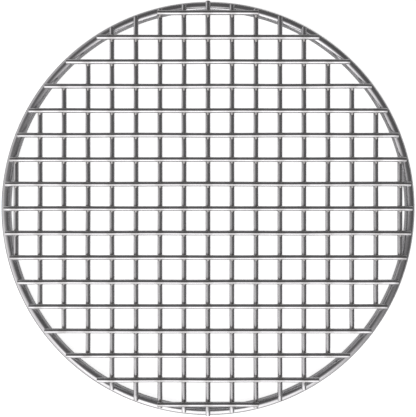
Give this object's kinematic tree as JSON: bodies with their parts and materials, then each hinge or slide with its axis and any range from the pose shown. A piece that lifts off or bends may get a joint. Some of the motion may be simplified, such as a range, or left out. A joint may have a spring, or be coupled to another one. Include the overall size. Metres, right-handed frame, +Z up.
{
  "type": "cooling rack",
  "caption": "Round wire cooling rack: a grid of straight crossed wires welded on a thick round rim rod.",
  "frame": {"origin": "centre of the circle that the rim rests on, at the height of the surface under it", "axes": "+Z up, towards the food; +X along the upper wires; +Y along the lower wires"},
  "size_m": [0.255, 0.255, 0.0126],
  "materials": {
    "rim": "bright polished steel rod",
    "grid_wire": "bright polished steel wire"
  },
  "bodies": {
    "root": {"rim": "rim", "lower_wire_01": "grid_wire", "lower_wire_02": "grid_wire", "lower_wire_03": "grid_wire", "lower_wire_04": "grid_wire", "lower_wire_05": "grid_wire", "lower_wire_06": "grid_wire", "lower_wire_07": "grid_wire", "lower_wire_08": "grid_wire", "lower_wire_09": "grid_wire", "lower_wire_10": "grid_wire", "lower_wire_11": "grid_wire", "lower_wire_12": "grid_wire", "lower_wire_13": "grid_wire", "lower_wire_14": "grid_wire", "lower_wire_15": "grid_wire", "lower_wire_16": "grid_wire", "lower_wire_17": "grid_wire", "upper_wire_01": "grid_wire", "upper_wire_02": "grid_wire", "upper_wire_03": "grid_wire", "upper_wire_04": "grid_wire", "upper_wire_05": "grid_wire", "upper_wire_06": "grid_wire", "upper_wire_07": "grid_wire", "upper_wire_08": "grid_wire", "upper_wire_09": "grid_wire", "upper_wire_10": "grid_wire", "upper_wire_11": "grid_wire", "upper_wire_12": "grid_wire", "upper_wire_13": "grid_wire", "upper_wire_14": "grid_wire", "upper_wire_15": "grid_wire", "upper_wire_16": "grid_wire", "upper_wire_17": "grid_wire"}
  },
  "joints": []
}
